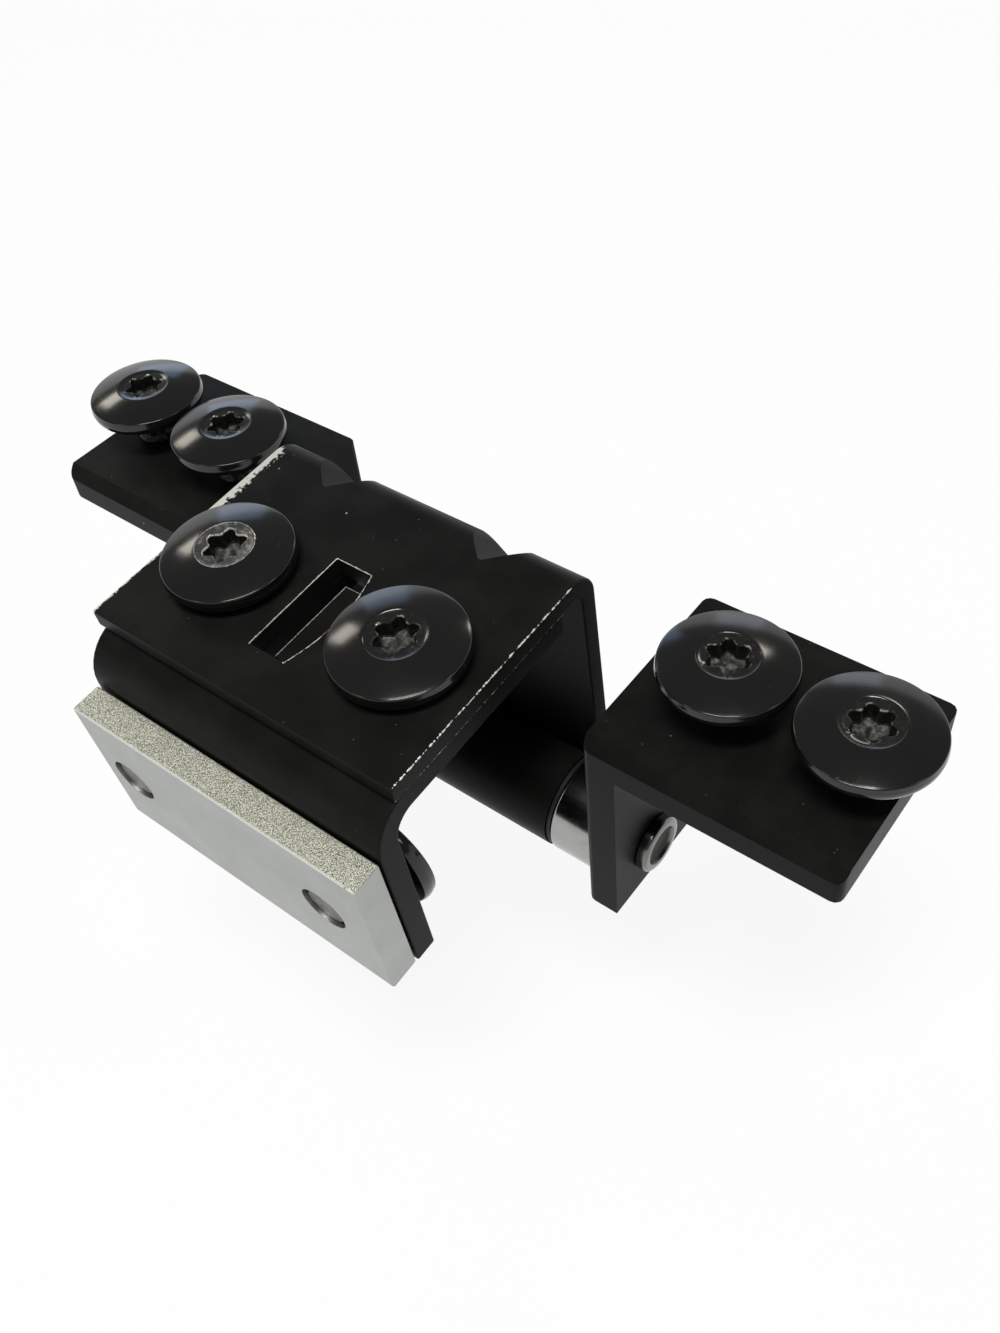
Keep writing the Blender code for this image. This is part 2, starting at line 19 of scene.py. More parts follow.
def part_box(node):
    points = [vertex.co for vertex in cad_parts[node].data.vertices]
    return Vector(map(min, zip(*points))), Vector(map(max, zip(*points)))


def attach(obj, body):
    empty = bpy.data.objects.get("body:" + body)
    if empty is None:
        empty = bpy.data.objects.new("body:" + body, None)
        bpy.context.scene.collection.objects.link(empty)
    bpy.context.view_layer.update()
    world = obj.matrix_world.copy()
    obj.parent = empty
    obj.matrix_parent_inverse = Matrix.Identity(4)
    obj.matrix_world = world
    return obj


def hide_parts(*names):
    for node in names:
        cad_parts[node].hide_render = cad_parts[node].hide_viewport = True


bl_info = {
    "name": "Concealed Hinge Looks",
    "version": (1, 0, 0),
    "blender": (4, 5, 0),
    "location": "3D View > Sidebar > Hinge",
    "description": "Finishes and fine forms of a concealed door hinge, its floor, lamps and camera",
    "category": "Object",
}

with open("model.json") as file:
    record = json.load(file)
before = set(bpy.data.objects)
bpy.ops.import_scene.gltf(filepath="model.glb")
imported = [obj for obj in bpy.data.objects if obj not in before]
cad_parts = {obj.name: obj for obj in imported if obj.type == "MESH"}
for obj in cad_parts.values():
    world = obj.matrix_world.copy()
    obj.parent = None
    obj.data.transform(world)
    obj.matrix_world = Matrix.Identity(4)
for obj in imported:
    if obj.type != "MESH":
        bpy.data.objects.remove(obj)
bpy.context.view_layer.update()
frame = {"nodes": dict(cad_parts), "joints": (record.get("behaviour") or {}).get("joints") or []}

MM = 0.001
SIDES = ("left", "right")

# The camera of the photograph, whose frame is 1000 by 1333 pixels
PHOTO_HEIGHT = 1333
FOCAL_PIXELS = 1271.1
SENSOR = 36.0
CAMERA_PLACE = (0.08254, -0.03251, 0.12177)
CAMERA_TURN = (38.965, 7.082, 37.112)
NEAR_CLIP = 0.01

# The outer bracket's sheet, and its slot's left, right, front and rear edges
SHEET = 2.5 * MM
SLOT = (-3.1 * MM, 2.1 * MM, 14.2 * MM, 28.8 * MM)
SLOT_BULGE = 1.2 * MM
TAB_GAP = 1.75 * MM
TAB_END = 1.3 * MM

# The side brackets stand this far off the top plate's plane
SIDE_TILT = radians(-4)

# How much the drives are rubbed: the left top screw's, and all others
RUBBED_SCREW = "top_screw_left"
RUBBED = 1.0
HARDLY_RUBBED = 0.06

# How bright the plating is on the spacers and on the pin: painted shade, darker than the plating's own
# colour to stand for the dark surroundings they reflect
SPACER_PAINTED_SHADE = 0.55
PIN_PAINTED_SHADE = 0.27

# Points closer than this are one point, and edges up to these angles count as flat, smooth or round
SHEET_WELD = 0.002 * MM
TURNED_WELD = 1e-8
FLAT_ANGLE = radians(0.6)
SHEET_SMOOTH = radians(50)
TURNED_SMOOTH = radians(38)
ROUNDED_ANGLE = radians(36)

# The floor lies this far below the lowest point of the swing
FLOOR_GAP = 1 * MM

# The lamps: azimuth and elevation in degrees, distance, width and height, colour, brightness
LAMPS = {
    "key_panel": (45, 80, 0.75, (0.36, 0.14), (1.0, 0.985, 0.96), 24.0),
    "front_lamp": (-30, 48, 0.75, (0.12, 0.12), (1.0, 0.97, 0.90), 6.0),
    "right_lamp": (112, 40, 0.75, (0.12, 0.12), (1.0, 0.97, 0.90), 6.0),
    "window": (-130, 15, 0.75, (0.20, 0.27), (0.50, 0.69, 1.0), 1.2),
    "far_window": (-160, 12, 0.75, (0.20, 0.18), (0.66, 0.76, 1.0), 0.9),
    "left_lamp": (-108, 31, 0.7, (0.12, 0.12), (1.0, 0.94, 0.82), 7.0),
    "rear_lamp": (-175, 34, 0.7, (0.08, 0.08), (1.0, 0.94, 0.82), 10.0),
}
ROOM_COLOUR = (0.95, 0.98, 1.0, 1)


# Settings that a user may change


def length(name, text, default):
    """A size, shown in the scene's own unit."""
    return FloatProperty(
        name=name, description=text, default=default, subtype="DISTANCE", unit="LENGTH", min=0
    )


def colour(name, text, default):
    """A colour."""
    return FloatVectorProperty(
        name=name, description=text, default=default, subtype="COLOR", size=3, min=0, max=1
    )


def share(name, text, default):
    """A number from 0 to 1."""
    return FloatProperty(name=name, description=text, default=default, subtype="FACTOR", min=0, max=1)


class HingeSizes(bpy.types.PropertyGroup):
    """Sizes of the turned pieces and of the softened edges."""

    head_radius: length("Head radius", "Radius of a screw's head", 8.0 * MM)
    rim_height: length("Rim height", "Height of the head's side", 1.85 * MM)
    rim_taper: length("Rim taper", "How much narrower the head is at its underside", 0.25 * MM)
    rim_round: length("Rim round", "Radius of the head's upper edge", 0.22 * MM)
    dome_rise: length("Dome rise", "Rise of the head's dome above its rim", 1.1 * MM)
    shoulder_radius: length("Shoulder radius", "Radius of the collar under the head", 5.0 * MM)
    shoulder_height: length("Shoulder height", "Height of the collar under the head", 0.7 * MM)
    ring_radius: length("Ring radius", "Outer radius of the flat ring round the drive", 3.6 * MM)
    ring_sink: length("Ring sink", "How far the flat ring lies below the dome's crown", 0.10 * MM)
    lobe_radius: length("Lobe radius", "Middle radius of the six-lobed drive", 2.25 * MM)
    lobe_depth: length("Lobe depth", "Reach of a lobe either side of the middle radius", 0.38 * MM)
    drive_depth: length("Drive depth", "Depth of the six-lobed drive", 2.3 * MM)
    thread_radius: length("Thread radius", "Outer radius of the thread", 3.0 * MM)
    thread_pitch: length("Thread pitch", "Distance from one thread to the next", 1.0 * MM)
    thread_depth: length("Thread depth", "Depth of the thread", 0.5 * MM)
    shank_length: length("Shank length", "Length of the screw below its collar", 7.0 * MM)
    tip_chamfer: length("Tip chamfer", "Chamfer at the screw's tip", 0.5 * MM)
    rivet_radius: length("Rivet radius", "Radius of the pin's rivet heads", 3.9 * MM)
    rivet_height: length("Rivet height", "Height of the pin's rivet heads", 1.5 * MM)
    pin_radius: length("Pin radius", "Radius of the pin", 3.0 * MM)
    dish_radius: length("Dish radius", "Radius of the dish in a rivet head", 2.75 * MM)
    dish_depth: length("Dish depth", "Depth of the dish in a rivet head", 0.7 * MM)
    spacer_round: length("Spacer round", "Radius of the spacer's edges", 0.5 * MM)
    edge_round: length("Edge round", "Softening of the sheets' cut edges", 0.09 * MM)
    turn_steps: IntProperty(
        name="Turn steps", description="Facets round a turned piece", default=96, min=24, max=192
    )


class HingeFinishes(bpy.types.PropertyGroup):
    """Colours of the coats and metals."""

    coat: colour("Coat", "The black coat on the folded sheets", (0.0085, 0.0083, 0.0079))
    screw: colour("Screw", "The black finish of the screws", (0.0080, 0.0078, 0.0073))
    # This steel colour also serves the lines and rims that are partly painted highlights
    bare_and_highlight: colour("Bare metal", "Steel where the coat has worn away", (0.84, 0.83, 0.77))
    zinc: colour("Zinc", "The plating of the spacers and the pin", (0.66, 0.67, 0.65))
    aluminium: colour("Aluminium", "The clamp plate", (0.41, 0.425, 0.405))
    sawn: colour("Sawn aluminium", "The clamp plate's grainy top face", (0.75, 0.76, 0.63))
    sparkle: colour("Sparkle", "Bright grains on the sawn face", (0.95, 0.95, 0.86))
    burr: colour("Burr", "The burr along the sawn face's front edge", (0.95, 0.95, 0.90))
    polymer: colour("Polymer", "The bushes in the knuckle", (0.010, 0.010, 0.011))
    # Painted shade: this colour darkens the pin's pits and the dishes in its ends
    pits_and_dish_shade: colour("Grime", "Dark grime in the pin's dished ends", (0.035, 0.034, 0.028))
    dust: colour("Dust", "Specks that lie on the coat", (0.20, 0.20, 0.19))
    coat_roughness: share("Coat roughness", "Roughness of the black coat", 0.40)
    screw_roughness: share("Screw roughness", "Roughness of the screws", 0.15)
    metal_roughness: share("Metal roughness", "Roughness of the bright metals", 0.16)


class HingeStage(bpy.types.PropertyGroup):
    """The floor, its backdrop and the room's light."""

    floor: colour("Floor", "The floor and the backdrop", (0.60, 0.60, 0.60))
    glow: share("Background", "How white the background shows by itself", 0.90)
    room: FloatProperty(
        name="Room light", description="Brightness of the room above", default=0.18, min=0, max=2
    )
    floor_radius: length("Floor radius", "Radius of the floor and its backdrop", 1.6)
    wall_height: length("Backdrop height", "Height of the backdrop", 0.55)
    wall_round: length("Backdrop round", "Radius between the floor and the backdrop", 0.25)


# Materials, written as plain arithmetic on their nodes' sockets


class Value:
    """A socket of a material's nodes that stands in plain arithmetic."""

    def __init__(self, finish, socket):
        self.finish = finish
        self.socket = socket

    def maths(self, operation, *values):
        return self.finish.node("ShaderNodeMath", {"operation": operation}, dict(enumerate(values)))

    def __add__(self, other):
        return self.maths("ADD", self, other)

    def __radd__(self, other):
        return self.maths("ADD", other, self)

    def __sub__(self, other):
        return self.maths("SUBTRACT", self, other)

    def __rsub__(self, other):
        return self.maths("SUBTRACT", other, self)

    def __mul__(self, other):
        return self.maths("MULTIPLY", self, other)

    def __rmul__(self, other):
        return self.maths("MULTIPLY", other, self)

    def __abs__(self):
        return self.maths("ABSOLUTE", self)

    def least(self, other):
        return self.maths("MINIMUM", self, other)

    def most(self, other):
        return self.maths("MAXIMUM", self, other)

    def sine(self):
        return self.maths("SINE", self)

    def fade(self, low, high):
        """0 at the low value and 1 at the high one, smooth between them, for either order."""
        values = {"Value": self, "From Min": low, "From Max": high}
        return self.finish.node("ShaderNodeMapRange", {"interpolation_type": "SMOOTHSTEP"}, values)


class Finish:
    """One material while it is made: its shader and the nodes that feed it."""

    def __init__(self, name, **constants):
        self.material = bpy.data.materials.new(name)
        self.material.use_nodes = True
        self.tree = self.material.node_tree
        self.shader = self.tree.nodes["Principled BSDF"]
        for key, value in constants.items():
            self.shader.inputs[key.replace("_", " ")].default_value = value

    def node(self, kind, settings=None, values=None, output=0):
        """Adds a node: its settings first, then the values or links of its sockets."""
        made = self.tree.nodes.new(kind)
        for key, value in (settings or {}).items():
            setattr(made, key, value)
        for key, value in (values or {}).items():
            if isinstance(value, Value):
                self.tree.links.new(value.socket, made.inputs[key])
            else:
                made.inputs[key].default_value = value
        return Value(self, made.outputs[output])

    def feed(self, **values):
        """Links values into the shader's sockets."""
        for key, value in values.items():
            self.tree.links.new(value.socket, self.shader.inputs[key.replace("_", " ")])

    def vector(self, operation, *values, output=0):
        return self.node("ShaderNodeVectorMath", {"operation": operation}, dict(enumerate(values)), output)

    def mix(self, factor, first, second):
        """A colour between two colours."""
        factor_in, first_in, second_in, colour_out = 0, 6, 7, 2
        values = {factor_in: factor}
        for key, shade in ((first_in, first), (second_in, second)):
            values[key] = shade if isinstance(shade, Value) else (*shade, 1)
        return self.node("ShaderNodeMix", {"data_type": "RGBA"}, values, colour_out)

    def place(self):
        """The point on the piece, in metres from the frame's origin at rest."""
        return self.node("ShaderNodeTexCoord", output="Object")

    def parts(self, point):
        """The three coordinates of a point."""
        split = self.node("ShaderNodeSeparateXYZ", values={0: point}).socket.node
        return [Value(self, socket) for socket in split.outputs]

    def noise(self, point, grain, detail=2.0, rough=0.5):
        """Noise from 0 to 1 whose grain is about the given size in metres."""
        values = {"Vector": point, "Scale": 1 / grain, "Detail": detail, "Roughness": rough}
        return self.node("ShaderNodeTexNoise", values=values, output="Fac")

    def stretched(self, point, scale, turn=(0, 0, 0)):
        """The point's coordinates scaled and turned, for marks that run one way."""
        return self.node("ShaderNodeMapping", values={"Vector": point, "Rotation": turn, "Scale": scale})

    def specks(self, point, spacing, size, kept):
        """Round specks, one in each cell of a scatter, of which only a share is kept."""
        cells = {"Vector": point, "Scale": 1 / spacing}
        distance = self.node("ShaderNodeTexVoronoi", values=cells, output="Distance")
        tone = self.node("ShaderNodeTexVoronoi", values=cells, output="Color")
        pick = self.parts(tone)[0]
        return distance.fade(size / spacing, 0.4 * size / spacing) * pick.fade(1 - kept, 1 - kept + 0.02)

    def scratches(self, point, grain, stretch, turn, thin, kept):
        """Fine lines along the contours of a noise that is drawn out one way."""
        drawn = self.stretched(point, (1, stretch, 1), turn)
        line = abs(self.noise(drawn, grain, 1.0) - 0.5)
        area = self.noise(point, 6 * MM, 1.0)
        return line.fade(thin, 0) * area.fade(1 - kept, 1 - kept + 0.08)

    def line(self, point, start, end, width):
        """1 along the line from start to end, falling to 0 at the width."""
        start, end = Vector(start), Vector(end)
        span = end - start
        way = tuple(span.normalized())
        away = self.vector("SUBTRACT", point, tuple(start))
        along = self.vector("DOT_PRODUCT", away, way, output="Value").most(0).least(span.length)
        foot = self.node("ShaderNodeVectorMath", {"operation": "SCALE"}, {0: way, "Scale": along})
        distance = self.vector("DISTANCE", away, foot, output="Value")
        return distance.fade(width, 0)

    def round_axis(self, point, centre, axis):
        """How far a point lies along an axis through the centre, and how far off that axis."""
        away = self.vector("SUBTRACT", point, tuple(centre))
        along = self.vector("DOT_PRODUCT", away, tuple(axis), output="Value")
        reach = self.vector("LENGTH", self.vector("CROSS_PRODUCT", away, tuple(axis)), output="Value")
        return along, reach

    def bump(self, height, depth):
        """A normal from a height map of which 1 stands for the given depth."""
        return self.node("ShaderNodeBump", values={"Height": height, "Distance": depth, "Strength": 1.0})


def wear_and_highlight_mask(near, strength, chipped):
    """1 where steel shows through the coat near a line, from the line's own mask and a noise; the lines
    are wear, and along edges partly painted highlights.
    """
    broken = near * (0.6 + 0.6 * strength) + (chipped - 0.5) * 3.0 - 0.42
    return broken.fade(0.0, 0.2) * near.fade(0.0, 0.25)


def coat_finish(name, worn=()):
    """Black coat over steel: orange peel, dust, scratches, and steel showing along the given lines, which
    are wear and, along edges, partly painted highlights.

    A line is (start, end, width, strength).
    """
    looks = bpy.context.scene.hinge_finishes
    finish = Finish(name, Specular_IOR_Level=0.06, IOR=1.5)
    point = finish.place()
    turned_point = finish.stretched(point, (1, 1, 1), (0.4, 0.9, 0.2))
    peel = finish.noise(point, 0.55 * MM, 3.0)
    cloud = finish.noise(point, 7 * MM, 3.0, 0.6)
    chipped = finish.noise(point, 0.45 * MM, 4.0, 0.65)
    dust = finish.specks(point, 1.3 * MM, 0.085 * MM, 0.3)
    nicks = finish.specks(turned_point, 4.1 * MM, 0.16 * MM, 0.3)
    scratch = finish.scratches(point, 1.5 * MM, 0.12, (0, 0, 0.6), 0.006, 0.42)
    bare_and_highlight = nicks * 0.7
    # Steel along each line: wear, and along edges partly a painted highlight
    for start, end, width, strength in worn:
        near = finish.line(point, start, end, width)
        bare_and_highlight = bare_and_highlight.most(wear_and_highlight_mask(near, strength, chipped))
    base = finish.mix(cloud.fade(0.35, 0.7), looks.coat, tuple(1.5 * c for c in looks.coat))
    base = finish.mix(dust * 0.8, base, looks.dust)
    base = finish.mix(bare_and_highlight, base, looks.bare_and_highlight)
    roughness = looks.coat_roughness + (cloud - 0.5) * 0.16 + dust * 0.3 + scratch * 0.12 + bare_and_highlight * 0.16
    height = peel * 0.35 + scratch * -0.5 + bare_and_highlight * -0.8 + dust * 0.6
    finish.feed(
        Base_Color=base, Metallic=bare_and_highlight, Roughness=roughness.most(0.12),
        Normal=finish.bump(height, 0.012 * MM),
    )
    return finish.material


def screw_finish(name, centre, axis, rubbed):
    """The screws' black finish, with turning marks on the head.

    The lip of the ring round the drive, the ring, the drive's rim round its lobes and its floor show
    steel; the steel round the lobes is partly wear and partly a painted highlight.
    """
    looks = bpy.context.scene.hinge_finishes
    sizes = bpy.context.scene.hinge_sizes
    finish = Finish(name, Specular_IOR_Level=0.5, IOR=1.5)
    point = finish.place()
    along, reach = finish.round_axis(point, centre, Vector(axis).normalized())
    groove = 0.22 * MM
    grooves = (reach * (2 * pi / groove)).sine()
    cloud = finish.noise(point, 5 * MM, 3.0, 0.6)
    chipped = finish.noise(point, 0.3 * MM, 4.0, 0.65)
    mottle = finish.noise(point, 0.8 * MM, 3.0, 0.6)
    streaks = finish.noise(reach, 0.09 * MM, 3.0, 0.7)
    dust = finish.specks(point, 1.5 * MM, 0.07 * MM, 0.25)
    marks = finish.scratches(point, 1.1 * MM, 0.15, (0, 0, -0.7), 0.006, 0.35)
    # Masks by the radius, and by the depth below the ring's flat face
    depth = sizes.shoulder_height + sizes.rim_height + sizes.dome_rise - sizes.ring_sink - along
    lip = abs(reach - sizes.ring_radius + 0.08 * MM).fade(0.2 * MM, 0)
    inside = reach.fade(sizes.ring_radius + 0.05 * MM, sizes.ring_radius - 0.15 * MM)
    flat = inside * depth.fade(0.12 * MM, 0.05 * MM)
    lobe_rim_wear_and_highlight = inside * depth.fade(0.01 * MM, 0.04 * MM) * depth.fade(0.24 * MM, 0.17 * MM)
    floor = inside * depth.fade(1.9 * MM, 2.1 * MM)
    # Steel showing: the chipped lip, streaks on the ring, the drive's rim round its lobes, partly a
    # painted highlight, and the drive's floor
    bare_and_highlight = (lip * (0.42 + 0.3 * rubbed) + chipped * 0.9 - 1.0).fade(0, 0.25) * (0.5 + 0.4 * rubbed)
    bare_and_highlight = bare_and_highlight.most(flat * ((streaks * 0.6 + mottle * 0.7 - 0.66).fade(0, 0.2) * 0.35 + 0.04) * rubbed)
    # Painted highlight, partly wear: steel round the drive's lobes
    bare_and_highlight = bare_and_highlight.most(lobe_rim_wear_and_highlight * (mottle + (0.2 * rubbed - 0.5)).fade(0, 0.12) * (0.45 + 0.35 * rubbed))
    bare_and_highlight = bare_and_highlight.most(floor * (mottle - 0.4).fade(0, 0.35) * 0.22)
    base = finish.mix(dust * 0.8, looks.screw, looks.dust)
    base = finish.mix(bare_and_highlight, base, looks.bare_and_highlight)
    roughness = looks.screw_roughness + (cloud - 0.5) * 0.1 + marks * 0.1 + dust * 0.3
    roughness = roughness + flat * (0.15 * rubbed) + floor * 0.2
    height = grooves * 0.05 + marks * -0.4 + chipped * 0.12 + bare_and_highlight * -0.6 + dust * 0.5
    finish.feed(
        Base_Color=base, Metallic=bare_and_highlight, Roughness=roughness.most(0.1),
        Normal=finish.bump(height, 0.01 * MM),
    )
    return finish.material


def zinc_finish(name, centre, axis, shade, dish=None):
    """Bright plating with turning marks, stains and pits; the dish in its end faces is darkened as painted
    shade.
    """
    looks = bpy.context.scene.hinge_finishes
    finish = Finish(name, Metallic=1.0)
    point = finish.place()
    along, reach = finish.round_axis(point, centre, Vector(axis).normalized())
    lines = finish.noise(along, 0.12 * MM, 3.0, 0.7)
    stain = finish.noise(point, 2.5 * MM, 4.0, 0.6)
    pits = finish.specks(point, 0.9 * MM, 0.07 * MM, 0.4)
    # The plating's colour darkened by the piece's painted shade
    plain = tuple(shade * c for c in looks.zinc)
    base = finish.mix(stain.fade(0.45, 0.75) * 0.5, plain, tuple(0.72 * c for c in plain))
    base = finish.mix(pits * 0.6, base, tuple(0.3 * c for c in plain))
    pits_and_dish_shade = pits * 0.3
    # Painted shade: the dish in each end face of the pin is darkened
    if dish:
        pits_and_dish_shade = pits_and_dish_shade.most((dish - reach + (stain - 0.5) * 0.8 * MM).fade(-0.1 * MM, 0.35 * MM))
        base = finish.mix(pits_and_dish_shade * 0.92, base, looks.pits_and_dish_shade)
    roughness = looks.metal_roughness - 0.08 + stain * 0.12 + lines * 0.08 + pits_and_dish_shade * 0.35
    height = lines * 0.5 - pits
    finish.feed(Base_Color=base, Roughness=roughness, Normal=finish.bump(height, 0.004 * MM))
    return finish.material


def aluminium_finish(name, low, high):
    """The clamp plate: satin front and ends, a coarse sparkling sawn top, and a bright front burr."""
    looks = bpy.context.scene.hinge_finishes
    finish = Finish(name, Metallic=1.0)
    point = finish.place()
    height_here = finish.parts(point)[2]
    sawn = height_here.fade(high.z - 0.12 * MM, high.z - 0.02 * MM)
    grain = finish.noise(point, 0.13 * MM, 3.0, 0.6)
    sparkle = finish.specks(point, 0.26 * MM, 0.11 * MM, 0.6)
    burr = finish.line(point, (low.x, low.y, high.z), (high.x, low.y, high.z), 0.35 * MM)
    satin = finish.noise(finish.stretched(point, (0.25, 1, 1)), 0.25 * MM, 3.0, 0.6)
    cloud = finish.noise(point, 6 * MM, 3.0, 0.6)
    duller = tuple(0.9 * c for c in looks.aluminium)
    flat = finish.mix(cloud.fade(0.3, 0.75), looks.aluminium, duller)
    rough = finish.mix(grain.fade(0.4, 0.58), tuple(0.18 * c for c in looks.sawn), looks.sawn)
    rough = finish.mix(sparkle * 0.85, rough, looks.sparkle)
    base = finish.mix(sawn, flat, rough)
    base = finish.mix(burr, base, looks.burr)
    roughness = looks.metal_roughness + 0.26 + (satin - 0.5) * 0.1 + sawn * (grain * 0.25 - 0.15)
    height = satin * 0.1 * (1 - sawn) + sawn * (grain * 2.2 + sparkle)
    finish.feed(
        Base_Color=base, Metallic=1 - sawn * 0.6, Roughness=roughness,
        Normal=finish.bump(height, 0.03 * MM),
    )
    return finish.material


def polymer_finish(name):
    """Matt black polymer with a fine moulded grain."""
    looks = bpy.context.scene.hinge_finishes
    finish = Finish(name, Specular_IOR_Level=0.4)
    point = finish.place()
    grain = finish.noise(point, 0.12 * MM, 3.0, 0.6)
    shade = finish.mix(grain, looks.polymer, tuple(1.8 * c for c in looks.polymer))
    finish.feed(Base_Color=shade, Roughness=0.45 + grain * 0.25, Normal=finish.bump(grain, 0.01 * MM))
    return finish.material


def stage_finish(name):
    """The pale floor and backdrop, which show almost white by themselves and keep a soft shadow."""
    stage = bpy.context.scene.hinge_stage
    finish = Finish(name, Roughness=0.9, Specular_IOR_Level=0.2)
    finish.shader.inputs["Base Color"].default_value = (*stage.floor, 1)
    rays = finish.node("ShaderNodeLightPath", output="Is Camera Ray").socket.node
    seen = Value(finish, rays.outputs["Is Camera Ray"])
    for kind in ("Is Glossy Ray", "Is Transmission Ray"):
        seen = seen.most(Value(finish, rays.outputs[kind]))
    pale = (1 - stage.glow) * 1.1
    lit = finish.node("ShaderNodeBsdfDiffuse", values={"Color": (pale, pale, pale, 1)})
    glow = finish.node("ShaderNodeEmission", values={"Color": (1, 1, 1, 1), "Strength": stage.glow})
    white = finish.node("ShaderNodeAddShader", values={0: lit, 1: glow})
    plain = Value(finish, finish.shader.outputs[0])
    shown = finish.node("ShaderNodeMixShader", values={0: seen, 1: plain, 2: white})
    finish.tree.links.new(shown.socket, finish.tree.nodes["Material Output"].inputs["Surface"])
    return finish.material


# Meshes


def turned(name, stations, steps, closed=False):
    """A mesh turned about Z from (radius, height) stations, whose radius may differ round the turn."""
    turns = np.arange(steps) * 2 * pi / steps
    points = []
    for radius, height in stations:
        reach = np.broadcast_to(radius, steps)
        level = np.broadcast_to(height, steps)
        points.extend(zip(reach * np.cos(turns), reach * np.sin(turns), level))
    count = len(stations)
    faces = []
    for i in range(count if closed else count - 1):
        for j in range(steps):
            k = (j + 1) % steps
            low, high = i * steps, ((i + 1) % count) * steps
            faces.append((low + j, low + k, high + k, high + j))
    bm = bmesh.new()
    verts = [bm.verts.new(point) for point in points]
    for face in faces:
        bm.faces.new([verts[i] for i in face])
    bmesh.ops.remove_doubles(bm, verts=bm.verts, dist=TURNED_WELD)
    bmesh.ops.recalc_face_normals(bm, faces=bm.faces)
    mesh = bpy.data.meshes.new(name)
    bm.to_mesh(mesh)
    bm.free()
    mesh.shade_smooth()
    mesh.set_sharp_from_angle(angle=TURNED_SMOOTH)
    return mesh


def arc(centre, radius, start, end, steps):
    """Points on an arc of a section, from one angle to another."""
    angles = [radians(start + (end - start) * i / steps) for i in range(steps + 1)]
    return [(centre[0] + radius * cos(a), centre[1] + radius * sin(a)) for a in angles]


def show(name, mesh, finish, body, nodes, matrix=None):
    """Puts a piece in place of its CAD nodes, riding on their body."""
    piece = bpy.data.objects.new(name, mesh)
    bpy.context.scene.collection.objects.link(piece)
    if matrix is not None:
        piece.data.transform(matrix)
    piece.data.materials.clear()
    piece.data.materials.append(finish)
    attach(piece, body)
    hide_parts(*nodes)
    return piece


def softened(node, name):
    """The CAD node's own form, welded, with its bends shaded smooth."""
    bm = bmesh.new()
    bm.from_mesh(frame["nodes"][node].data)
    bmesh.ops.remove_doubles(bm, verts=bm.verts, dist=SHEET_WELD)
    bmesh.ops.dissolve_limit(bm, angle_limit=FLAT_ANGLE, verts=bm.verts, edges=bm.edges)
    mesh = bpy.data.meshes.new(name)
    bm.to_mesh(mesh)
    bm.free()
    mesh.shade_smooth()
    mesh.set_sharp_from_angle(angle=SHEET_SMOOTH)
    return mesh


def soften(piece):
    """Rounds what is still sharp, and keeps flat faces flat."""
    edge = piece.modifiers.new("edge_round", "BEVEL")
    edge.width = bpy.context.scene.hinge_sizes.edge_round
    edge.segments = 2
    edge.limit_method = "ANGLE"
    edge.angle_limit = ROUNDED_ANGLE
    edge.harden_normals = False
    flat = piece.modifiers.new("flat_faces", "WEIGHTED_NORMAL")
    flat.keep_sharp = True


def swing_axis():
    """The pin's place and direction, from the frame's swinging joint."""
    joint = next(j for j in frame["joints"] if j["type"] == "hinge")
    return Vector(joint["pos_m"]), Vector(joint["axis"])


def swing_floor():
    """The height just below what swings round the pin, so that the floor is clear of every pose."""
    pin, axis = swing_axis()
    reach = 0
    for node in frame["nodes"]:
        if node.startswith("side_"):
            for corner in frame["nodes"][node].data.vertices:
                reach = max(reach, (corner.co - pin).cross(axis).length)
    return pin.z - reach - FLOOR_GAP


